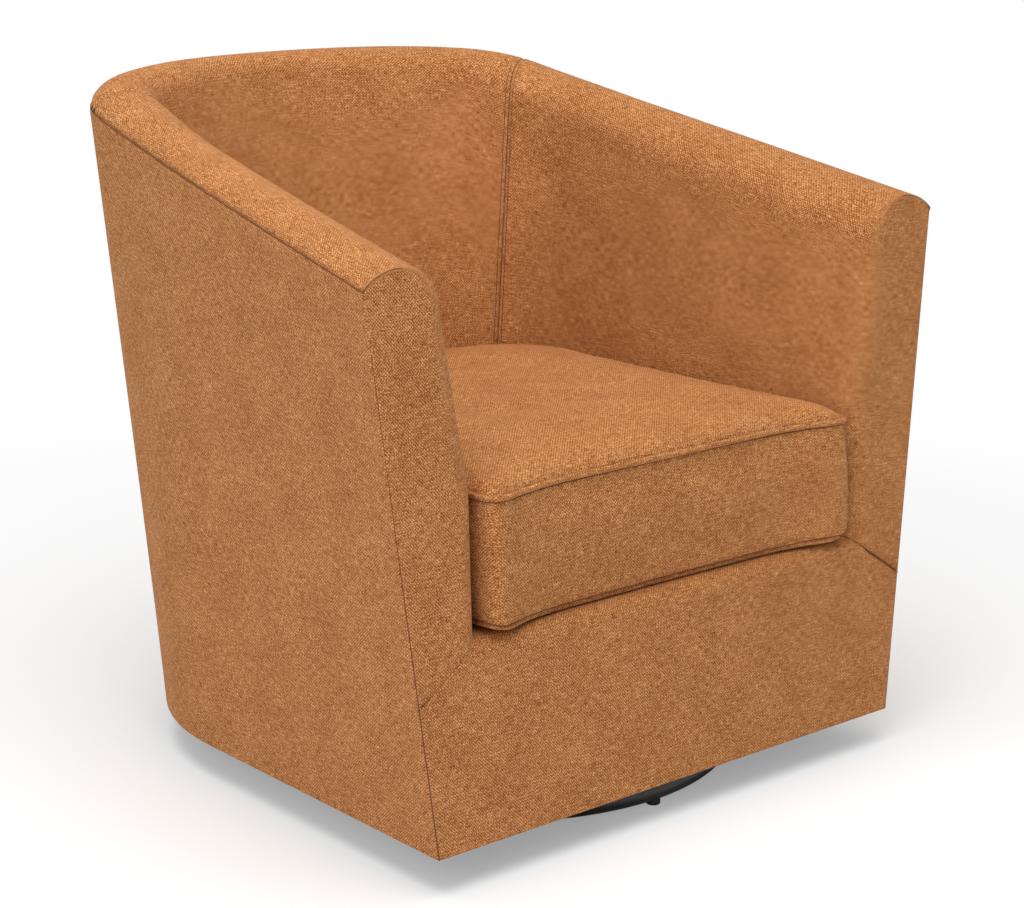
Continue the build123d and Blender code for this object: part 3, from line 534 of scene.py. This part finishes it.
def give_thickness(piece):
    """Cloth with its lining, and one step of rounding."""
    wall = piece.modifiers.new("cloth", "SOLIDIFY")
    wall.thickness = CLOTH
    wall.offset = -1.0
    soften = piece.modifiers.new("soften", "SUBSURF")
    soften.levels = soften.render_levels = 1


# %% [markdown]
# The outside is three flat panels: two sides that run from the front edge round the corner, and the back
# between them. They are stretched straight between the hem and the seam under the rim.

# %% Outside covers
INSIDE_SEAM, OUTSIDE_SEAM = 31.0, 52.0
SIDES = {"left": -1.0, "right": 1.0}
SIDE_COLUMNS, BACK_COLUMNS, OUTSIDE_ROWS = 84, 64, 70
CHAIR_MIDDLE = Vector((0, 0, 300))


def outside_point(section, v, side_gap):
    top = section.seam_z
    z = HEM_Z + crowd(v) * (top - HEM_Z)
    return section.point(section.outer(z) - dip(side_gap, top - z), z)


def mirrored(point, sign):
    return Vector((point.x * sign, point.y, point.z))


for name, sign in SIDES.items():
    end = path_to(OUTSIDE_SEAM)

    def side_place(u, v):
        path = crowd(u) * end
        return mirrored(outside_point(path_section(path), v, min(path, end - path)), sign)

    bm = bmesh.new()
    lay(bm, SIDE_COLUMNS, OUTSIDE_ROWS, side_place)
    turn_faces(bm, CHAIR_MIDDLE, away=True)
    piece = new_piece(f"outside_{name}", bm, "chair", LINEN, [f"outside_{name}_cover"])
    give_thickness(piece)


def outside_back_place(u, v):
    first, last = path_to(OUTSIDE_SEAM), path_to(180 - OUTSIDE_SEAM)
    path = first + crowd(u) * (last - first)
    return outside_point(path_section(path), v, min(path - first, last - path))


bm = bmesh.new()
lay(bm, BACK_COLUMNS, OUTSIDE_ROWS, outside_back_place)
turn_faces(bm, CHAIR_MIDDLE, away=True)
outside_back = new_piece("outside_back", bm, "chair", LINEN, ["outside_back_cover"])
give_thickness(outside_back)
print("outside covers:", len(SIDES) + 1)

# %% [markdown]
# The inside of each arm and its front are one piece of cloth that is pulled round the arm's front inner edge,
# so that edge is a soft roll with no seam. On top, near the outer corner, the roll tightens into a sewn dart.
# The front's lower edge is a slanting seam that it shares with the front cover.

# %% Inside covers
EDGE_ROLL, DART_ROLL = 24.0, 2.5
DART_END, ROLL_STOP = 0.13, 0.36
ROLL_SHARE = 0.13
SIDE_SEAM_Z = 192.0
SLANT_START = {"left": 0.65, "right": -1.0}
SLANT_FADE = 0.25
CROWN_LENGTH = 45.0
SLEEVE_COLUMNS, ARM_FRONT_COLUMNS, INSIDE_BACK_COLUMNS, INSIDE_ROWS = 90, 24, 100, 76
BEFORE_SEAT = Vector((0, -900, 800))


def front_roll(t):
    """Radius of the arm's front edge along the section: tight in the dart, round on the inside."""
    grow = min(1.0, max(0.0, (t - DART_END) / (ROLL_STOP - DART_END)))
    return DART_ROLL + (EDGE_ROLL - DART_ROLL) * grow * grow * (3 - 2 * grow)


def slant_depth(name, share):
    """Depth of the slanting seam: on the left it is pulled smooth towards the seat."""
    return min(1.0, max(0.0, (share - SLANT_START[name]) / SLANT_FADE))


def rim_gap(t):
    """Distance from the outer seam along the crown."""
    return CROWN_LENGTH * t / CROWN_END


def sleeve_point(t, u, end):
    """Inside arm: the first columns turn round the front edge, the others run back to the seam."""
    radius = front_roll(t)
    if u < ROLL_SHARE:
        turn = math.pi / 2 * u / ROLL_SHARE
        depth, inset = radius * (1 - math.cos(turn)), radius * (1 - math.sin(turn))
    else:
        share = (u - ROLL_SHARE) / (1 - ROLL_SHARE)
        depth, inset = radius + (end - radius) * math.sin(share * math.pi / 2), 0.0
    return path_section(depth).skin(t, inset + dip(rim_gap(t), end - depth))


def arm_front_point(t, v, name):
    """Arm front: from the rolled edge across to the outer corner seam."""
    section = arm_section(0.0)
    inner = section.skin(t, front_roll(t) + dip(rim_gap(t)))
    z = section.seam_z + (SIDE_SEAM_Z - section.seam_z) * t
    outer = section.point(section.outer(z), z)
    point = inner.lerp(outer, crowd(v))
    slant = dip((1 - t) * (section.seam_z - SIDE_SEAM_Z)) * slant_depth(name, v)
    point.y += max(dip((outer - point).length), slant)
    return point


for name, sign in SIDES.items():
    end = path_to(INSIDE_SEAM) + SEAM_LAP
    bm = bmesh.new()
    lay(bm, SLEEVE_COLUMNS, INSIDE_ROWS, lambda u, v: mirrored(sleeve_point(v, u, end), sign))
    lay(
        bm,
        ARM_FRONT_COLUMNS,
        INSIDE_ROWS,
        lambda u, v: mirrored(arm_front_point(v, u, name), sign),
        upright=True,
    )
    turn_faces(bm, BEFORE_SEAT, away=False)
    covered = [f"inside_{name}_cover", f"{name}_arm_foam"]
    piece = new_piece(f"inside_{name}", bm, "chair", LINEN, covered)
    give_thickness(piece)


def inside_back_place(u, v):
    first, last = path_to(INSIDE_SEAM) - SEAM_LAP, path_to(180 - INSIDE_SEAM) + SEAM_LAP
    path = first + crowd(u) * (last - first)
    return path_section(path).skin(v, dip(rim_gap(v), path - first, last - path))


bm = bmesh.new()
lay(bm, INSIDE_BACK_COLUMNS, INSIDE_ROWS, inside_back_place)
turn_faces(bm, BEFORE_SEAT, away=False)
covered = ["inside_back_cover", "back_foam"]
inside_back = new_piece("inside_back", bm, "chair", LINEN, covered)
give_thickness(inside_back)
print("inside covers:", len(SIDES) + 1)

# %% [markdown]
# The front cover hangs from the deck over a rounded lip and is pulled straight down to the hem. Beside the
# lip it carries on as a flap under each arm front, up to the slanting seam.

# %% Front cover and deck
LIP_R, DECK_Z, LIP_BACK = 15.0, 244.0, -286.0
LIP_Z = DECK_Z - LIP_R
LIP_HALF = INNER_SEAT.half + EDGE_ROLL
LIP_TURN = math.radians(68.0)
TURN_SHARE = 0.5
DECK_BACK_GAP, DECK_SIDE_GAP = 8.0, 1.5
FRONT_COLUMNS, FLAP_COLUMNS, FRONT_ROWS, LIP_ROWS = 60, 24, 40, 12
DECK_COLUMNS, DECK_ROWS = 40, 40
FRONT_MIDDLE = Vector((0, 0, 100))


def front_y(z):
    return HEM_FRONT + FRONT_LEAN * (z - HEM_Z)


def lip_place(u, v):
    """Over the lip: a quarter turn, then flat back under the cushion."""
    x = LIP_HALF * (2 * u - 1)
    turn_y = front_y(LIP_Z) + LIP_R
    if v < TURN_SHARE:
        turn = math.pi / 2 * v / TURN_SHARE
        return Vector((x, turn_y - LIP_R * math.cos(turn), LIP_Z + LIP_R * math.sin(turn)))
    return Vector((x, turn_y + (LIP_BACK - turn_y) * (v - TURN_SHARE) / (1 - TURN_SHARE), DECK_Z))


def front_place(u, v):
    z = HEM_Z + v * (LIP_Z - HEM_Z)
    return Vector((LIP_HALF * (2 * u - 1), front_y(z), z))


def flap_place(u, v, name):
    section = arm_section(0.0)
    top_z = LIP_Z + (SIDE_SEAM_Z - LIP_Z) * u
    z = HEM_Z + v * (top_z - HEM_Z)
    x = LIP_HALF + (section.outer(z) - LIP_HALF) * u
    slant = dip(top_z - z) * slant_depth(name, u) if u > 0 else 0.0
    return Vector((x, front_y(z) + max(dip(section.outer(z) - x), slant), z))


bm = bmesh.new()
lay(bm, FRONT_COLUMNS, FRONT_ROWS, front_place, upright=True)
lay(bm, FRONT_COLUMNS, LIP_ROWS, lip_place)
for name, sign in SIDES.items():
    lay(
        bm, FLAP_COLUMNS, FRONT_ROWS, lambda u, v: mirrored(flap_place(u, v, name), sign), upright=True
    )
turn_faces(bm, FRONT_MIDDLE, away=True)
front = new_piece("front", bm, "chair", LINEN, ["front_cover", "front_rail_pad"])
give_thickness(front)


def deck_place(u, v):
    """The deck under the cushion, as wide as the seat at each depth."""
    y = LIP_BACK + (INNER_SEAT.back_y - DECK_BACK_GAP - LIP_BACK) * math.sin(v * math.pi / 2)
    half = INNER_SEAT.reach(y, 0.0) - DECK_SIDE_GAP
    return Vector((half * (2 * u - 1), y, DECK_Z))


bm = bmesh.new()
lay(bm, DECK_COLUMNS, DECK_ROWS, deck_place)
turn_faces(bm, Vector(), away=True)
deck = new_piece("deck", bm, "chair", LINEN, ["deck_cover"])
give_thickness(deck)
print("front cover and deck are laid")

# %% [markdown]
# Where two covers meet, the stitches pull a dark line into the cloth. A thin thread lies in each seam's dip:
# a curve along the seam, given a round section, whose dark brown is also painted shade in the dip. Beside the
# seams between the arms and the back, a row of topstitches lies almost on the cloth.

# %% Seam threads
THREAD_R = 0.6
THREAD_DEPTH = 1.5
TOPSTITCH, STITCH_DEPTH = 6.5, 0.35
SEAM_FOOT = 0.92
RIM_START, RIM_DROP = 1.0, 0.8
DART_DEPTH = 1.0
TUBE_FACETS, TUBE_STEPS, TUBE_WELD = 3, 4, 0.02 * MM
RIM_STEPS, STRAIGHT_STEPS, INSIDE_STEPS, DART_STEPS, SLANT_STEPS = 60, 12, 40, 10, 16


def current_mesh(obj):
    graph = bpy.context.evaluated_depsgraph_get()
    return bpy.data.meshes.new_from_object(obj.evaluated_get(graph), depsgraph=graph)


def tube_mesh(points, radius, closed=False):
    """Round tube along a smooth line through points, in metres."""
    curve = bpy.data.curves.new("tube", "CURVE")
    curve.dimensions = "3D"
    curve.bevel_depth = radius
    curve.bevel_resolution = TUBE_FACETS
    curve.resolution_u = TUBE_STEPS
    curve.use_fill_caps = not closed
    spline = curve.splines.new("NURBS")
    spline.points.add(len(points) - 1)
    for target, point in zip(spline.points, points):
        target.co = (*point, 1.0)
    spline.order_u = 3
    spline.use_cyclic_u = closed
    spline.use_endpoint_u = not closed
    holder = bpy.data.objects.new("tube", curve)
    bpy.context.collection.objects.link(holder)
    mesh = current_mesh(holder)
    bpy.data.objects.remove(holder)
    bm = bmesh.new()
    bm.from_mesh(mesh)
    bmesh.ops.remove_doubles(bm, verts=bm.verts, dist=TUBE_WELD)
    bmesh.ops.recalc_face_normals(bm, faces=bm.faces)
    return bm


def sew(name, place, steps):
    """Thread along place(t), t from 0 to 1, in millimetres."""
    points = [place(i / steps) * MM for i in range(steps + 1)]
    return new_piece(name, tube_mesh(points, THREAD_R * MM), "chair", THREAD_AND_SEAM_SHADE)


def rim_seam(t):
    section = path_section(path_to(180) / 2 * t + RIM_START)
    return section.point(section.outer(section.seam_z) - THREAD_DEPTH, section.seam_z - RIM_DROP)


def corner_seam(t):
    section = arm_section(THREAD_DEPTH)
    z = HEM_Z + t * (section.seam_z - HEM_Z)
    return section.point(section.outer(z) - THREAD_DEPTH, z)


def inside_row(shift, depth):
    """Line of a row of stitches this far behind the seam between an arm and the back."""
    section = path_section(path_to(INSIDE_SEAM) + shift)
    return lambda t: section.skin(SEAM_FOOT * t, depth)


def outside_seam(t):
    section = path_section(path_to(OUTSIDE_SEAM))
    z = HEM_Z + t * (section.seam_z - HEM_Z)
    return section.point(section.outer(z) - THREAD_DEPTH, z)


def dart_seam(t):
    return arm_section(DART_DEPTH).skin(DART_END * t, DART_DEPTH)


def slant_seam(t, start):
    """Seam between an arm front and the front cover, down to the outer corner. A start below 0 lies beside
    the seat, where the arm's rolled edge meets the lip."""
    share = start + (1 - start) * t
    if share < 0:
        turn = -share * LIP_TURN
        back = EDGE_ROLL * (1 - math.cos(turn))
        z = LIP_Z + math.sqrt(LIP_R**2 - max(0.0, LIP_R - back) ** 2)
        return Vector((LIP_HALF - EDGE_ROLL * math.sin(turn), front_y(LIP_Z) + back, z))
    x = LIP_HALF + (arm_section(0.0).outer(SIDE_SEAM_Z) - LIP_HALF) * share
    z = LIP_Z + (SIDE_SEAM_Z - LIP_Z) * share
    return Vector((x, front_y(z) + THREAD_DEPTH, z))


SEAMS = {
    "rim_seam": (rim_seam, RIM_STEPS),
    "corner_seam": (corner_seam, STRAIGHT_STEPS),
    "inside_seam": (inside_row(0.0, THREAD_DEPTH), INSIDE_STEPS),
    "topstitch_front": (inside_row(-TOPSTITCH, STITCH_DEPTH), INSIDE_STEPS),
    "topstitch_back": (inside_row(TOPSTITCH, STITCH_DEPTH), INSIDE_STEPS),
    "outside_seam": (outside_seam, STRAIGHT_STEPS),
    "dart_seam": (dart_seam, DART_STEPS),
}
for seam, (place, steps) in SEAMS.items():
    for name, sign in SIDES.items():
        sew(f"{seam}_{name}", lambda t: mirrored(place(t), sign), steps)
for name, sign in SIDES.items():
    start = SLANT_START[name]
    sew(f"slant_seam_{name}", lambda t: mirrored(slant_seam(t, start), sign), SLANT_STEPS)
print("seams on each side:", len(SEAMS) + 1)

# %% [markdown]
# The seat cushion is foam in a sewn box: top panel, bottom panel and a boxing between two welts. It is
# swollen by a short cloth simulation from the CAD foam, which is a little smaller than its cover. Along each
# welt the cover is drawn in by the stitches.

# %% Seat cushion
VOXEL = 6 * MM
PRESSURE = 4.0
SWELL_UP, SWELL_OUT = 1 * MM, 3 * MM
LAST_FRAME = 20
TOP_LEVEL, BOTTOM_LEVEL = 379.0 * MM, 248.0 * MM
WELT_LEVELS = {"cushion_top_welt": TOP_LEVEL, "cushion_bottom_welt": BOTTOM_LEVEL}
FOAM_WELD = 0.01 * MM
SMOOTHING = 0.5
SIDE_FACING = 0.5
CREASE, CREASE_WIDTH = 2.2 * MM, 6 * MM
CORNER_X, CORNER_Y, CORNER_REACH = 250 * MM, -345 * MM, 120 * MM
CORNER_OUT, CORNER_FORWARD, CORNER_LOW = 6 * MM, 20 * MM, 0.6


def swell(obj):
    """Blows the closed mesh up with cloth pressure and caps how far each point moves."""
    cloth = obj.modifiers.new("swell", "CLOTH")
    cloth.settings.use_pressure = True
    cloth.settings.uniform_pressure_force = PRESSURE
    cloth.settings.effector_weights.gravity = 0.0
    scene = bpy.context.scene
    for frame_number in range(1, LAST_FRAME + 1):
        scene.frame_set(frame_number)
    swollen = [vert.co.copy() for vert in current_mesh(obj).vertices]
    obj.modifiers.remove(cloth)
    scene.frame_set(1)
    for vert, target in zip(obj.data.vertices, swollen):
        move = target - vert.co
        out = Vector((move.x, move.y, 0.0))
        if out.length > SWELL_OUT:
            out *= SWELL_OUT / out.length
        up = max(0.0, min(SWELL_UP, move.z))
        vert.co += Vector((out.x, out.y, up))


def cushion_body():
    bm = bmesh.new()
    bm.from_mesh(nodes["cushion_foam"].data)
    bmesh.ops.remove_doubles(bm, verts=bm.verts, dist=FOAM_WELD)
    mesh = bpy.data.meshes.new("seat_cushion")
    bm.to_mesh(mesh)
    bm.free()
    obj = bpy.data.objects.new("seat_cushion", mesh)
    bpy.context.collection.objects.link(obj)
    remesh = obj.modifiers.new("even", "REMESH")
    remesh.mode = "VOXEL"
    remesh.voxel_size = VOXEL
    even = current_mesh(obj)
    obj.modifiers.remove(remesh)
    obj.data = even
    swell(obj)
    return obj


def corner_share(co):
    """How near a point is to one of the cushion's front corners, from 0 to 1."""
    apart = Vector((abs(co.x) - CORNER_X, co.y - CORNER_Y, 0.0)).length
    return max(0.0, 1 - apart / CORNER_REACH) ** 2


def pull_corner(vert):
    """The front corners stand out, and most at the bottom, because the cover pulls in between them."""
    near = corner_share(vert.co)
    vert.co.x += math.copysign(CORNER_OUT * near, vert.co.x)
    low = (TOP_LEVEL - vert.co.z) / (TOP_LEVEL - BOTTOM_LEVEL)
    vert.co.y -= CORNER_FORWARD * near * (1 + CORNER_LOW * min(1.0, max(0.0, low)))


def box_weave(bm):
    """UV map in metres: each face takes the two axes it faces least."""
    weave = bm.loops.layers.uv.get("weave") or bm.loops.layers.uv.new("weave")
    for face in bm.faces:
        facing = [abs(c) for c in face.normal]
        axis = facing.index(max(facing))
        first, second = [i for i in range(3) if i != axis]
        for loop in face.loops:
            loop[weave].uv = (loop.vert.co[first], loop.vert.co[second])


cushion = cushion_body()
bm = bmesh.new()
bm.from_mesh(cushion.data)
bmesh.ops.smooth_vert(
    bm, verts=bm.verts, factor=SMOOTHING, use_axis_x=True, use_axis_y=True, use_axis_z=True
)
for vert in bm.verts:
    pull_corner(vert)
    for level in WELT_LEVELS.values():
        near = abs(vert.co.z - level) / CREASE_WIDTH
        out = Vector((vert.normal.x, vert.normal.y, 0.0))
        if near < 1 and out.length > SIDE_FACING:
            vert.co -= out.normalized() * CREASE * (1 - near) ** 2
box_weave(bm)
bm.to_mesh(cushion.data)
bm.free()
cushion.data.materials.clear()
cushion.data.materials.append(LINEN)
cushion.data.shade_smooth()
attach(cushion, "cushion")
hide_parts("cushion_foam", "cushion_cover")
soften = cushion.modifiers.new("soften", "SUBSURF")
soften.levels = soften.render_levels = 1
print("cushion points:", len(cushion.data.vertices))

# %% [markdown]
# A welt is a cord in a strip of the same cloth, sewn between two panels. Its line is read off the swollen
# cushion: a level cut gives the outline there, and a round tube follows it. A row of dark stitches, which
# also paints the crease's shade, follows each welt on the boxing's side. Last, the lower front corners are
# lifted, with all that is sewn to them.

# %% Welts
WELT_R, WELT_OUT = 3.0 * MM, 0.9
STITCH_GAP, STITCH_R = 3.8 * MM, 0.45 * MM
CORNER_LIFT, LIFT_HEIGHT = 6 * MM, 60 * MM


def level_outline(z):
    """Points of the cushion's outline at a level, in order."""
    bm = bmesh.new()
    bm.from_mesh(cushion.data)
    cut = bmesh.ops.bisect_plane(
        bm, geom=bm.verts[:] + bm.edges[:] + bm.faces[:], plane_co=(0, 0, z), plane_no=(0, 0, 1)
    )
    edges = [item for item in cut["geom_cut"] if isinstance(item, bmesh.types.BMEdge)]
    ring = {}
    for edge in edges:
        for vert in edge.verts:
            ring.setdefault(vert, []).append(edge.other_vert(vert))
    first = next(iter(ring))
    outline, previous, vert = [], None, first
    while vert is not None and (vert is not first or not outline):
        outline.append(vert.co.copy())
        onward = [other for other in ring[vert] if other is not previous]
        previous, vert = vert, (onward[0] if onward else None)
    bm.free()
    return outline


def welt(name, z):
    outline = level_outline(z)
    middle = sum(outline, Vector()) / len(outline)
    line = []
    for point in outline[::2]:
        out = Vector((point.x - middle.x, point.y - middle.y, 0.0)).normalized()
        line.append(point + out * WELT_R * WELT_OUT)
    bm = tube_mesh(line, WELT_R, closed=True)
    box_weave(bm)
    return new_piece(name.replace("cushion_", "seat_"), bm, "cushion", LINEN, [name])


def welt_stitch_and_crease_shade(name, z):
    """Stitches between a welt and the boxing; their dark brown is also painted shade in the crease there."""
    bm = tube_mesh(level_outline(z)[::2], STITCH_R, closed=True)
    return new_piece(name, bm, "cushion", THREAD_AND_SEAM_SHADE)


def lift_corners(piece):
    """The cushion's lower front corners curl up from the deck."""
    for vert in piece.data.vertices:
        low = max(0.0, 1 - (vert.co.z - BOTTOM_LEVEL) / LIFT_HEIGHT)
        vert.co.z += CORNER_LIFT * corner_share(vert.co) * min(1.0, low)


cords = [welt(name, level) for name, level in WELT_LEVELS.items()]
# The stitch rows are dark lines that also paint the shade of the creases beside the welts.
stitches = [
    welt_stitch_and_crease_shade("seat_top_stitch_and_shade", TOP_LEVEL - STITCH_GAP),
    welt_stitch_and_crease_shade("seat_bottom_stitch_and_shade", BOTTOM_LEVEL + STITCH_GAP),
]
for piece in (cushion, *cords, *stitches):
    lift_corners(piece)
print("welts and their stitches:", len(cords) + len(stitches))

# %% [markdown]
# A plain studio: a large pale floor, a white world and two soft lamps, the larger one above and in front to
# the left. The floor catches the chair's shadow and fades to white away from it.

# %% Floor and light
FLOOR_HALF = 30.0
FLOOR_NEAR, FLOOR_FAR, FLOOR_GLOW = 0.75, 1.7, 0.3
WORLD_LIGHT = 0.44
WHITE = (1.0, 1.0, 1.0, 1.0)

bm = bmesh.new()
bmesh.ops.create_grid(bm, x_segments=1, y_segments=1, size=FLOOR_HALF)
floor_mesh = bpy.data.meshes.new("floor")
bm.to_mesh(floor_mesh)
bm.free()
floor = bpy.data.objects.new("floor", floor_mesh)
bpy.context.collection.objects.link(floor)
floor_paint, floor_tree, floor_shader = start_finish("white_paper_floor", 0.9)
floor_shader.inputs["Base Color"].default_value = linear("#fafafa")
centre = add(floor_tree, "ShaderNodeTexCoord").outputs["Object"]
distance = add(floor_tree, "ShaderNodeVectorMath", links={0: centre}, operation="LENGTH")
far = add(
    floor_tree,
    "ShaderNodeMapRange",
    links={"Value": distance.outputs["Value"]},
    values={"From Min": FLOOR_NEAR, "From Max": FLOOR_FAR, "To Min": FLOOR_GLOW},
    interpolation_type="SMOOTHSTEP",
)
seen_floor = add(floor_tree, "ShaderNodeLightPath")
share = add(
    floor_tree,
    "ShaderNodeMath",
    links={0: far.outputs["Result"], 1: seen_floor.outputs["Is Camera Ray"]},
    operation="MULTIPLY",
)
paper_white = add(floor_tree, "ShaderNodeEmission", values={"Color": WHITE, "Strength": 1.0})
paper = add(
    floor_tree,
    "ShaderNodeMixShader",
    links={0: share.outputs["Value"], 1: floor_shader.outputs["BSDF"], 2: paper_white.outputs["Emission"]},
)
floor_tree.links.new(paper.outputs["Shader"], floor_tree.nodes["Material Output"].inputs["Surface"])
floor_mesh.materials.append(floor_paint)

world = bpy.data.worlds.new("studio")
bpy.context.scene.world = world
world.use_nodes = True
tree = world.node_tree
tree.nodes.clear()
path = add(tree, "ShaderNodeLightPath")
seen = add(
    tree,
    "ShaderNodeMath",
    links={0: path.outputs["Is Camera Ray"], 1: path.outputs["Is Glossy Ray"]},
    operation="MAXIMUM",
)
seen = add(
    tree,
    "ShaderNodeMath",
    links={0: seen.outputs["Value"], 1: path.outputs["Is Transmission Ray"]},
    operation="MAXIMUM",
)
dim = add(tree, "ShaderNodeBackground", values={"Color": WHITE, "Strength": WORLD_LIGHT})
white = add(tree, "ShaderNodeBackground", values={"Color": WHITE, "Strength": 1.0})
mixed = add(
    tree,
    "ShaderNodeMixShader",
    links={0: seen.outputs["Value"], 1: dim.outputs["Background"], 2: white.outputs["Background"]},
)
add(tree, "ShaderNodeOutputWorld", links={"Surface": mixed.outputs["Shader"]})


def soft_lamp(name, place, target, size, power):
    lamp = bpy.data.lights.new(name, "AREA")
    lamp.shape = "DISK"
    lamp.size = size
    lamp.energy = power
    obj = bpy.data.objects.new(name, lamp)
    bpy.context.collection.objects.link(obj)
    obj.location = place
    obj.rotation_euler = (Vector(target) - Vector(place)).to_track_quat("-Z", "Y").to_euler()


soft_lamp("top_lamp", place=(-0.6, -0.6, 3.2), target=(0, 0, 0.3), size=3.0, power=88.0)
soft_lamp("side_lamp", place=(-3.0, -1.6, 1.8), target=(0, 0, 0.4), size=2.0, power=24.0)
bpy.context.scene.view_settings.view_transform = "Standard"
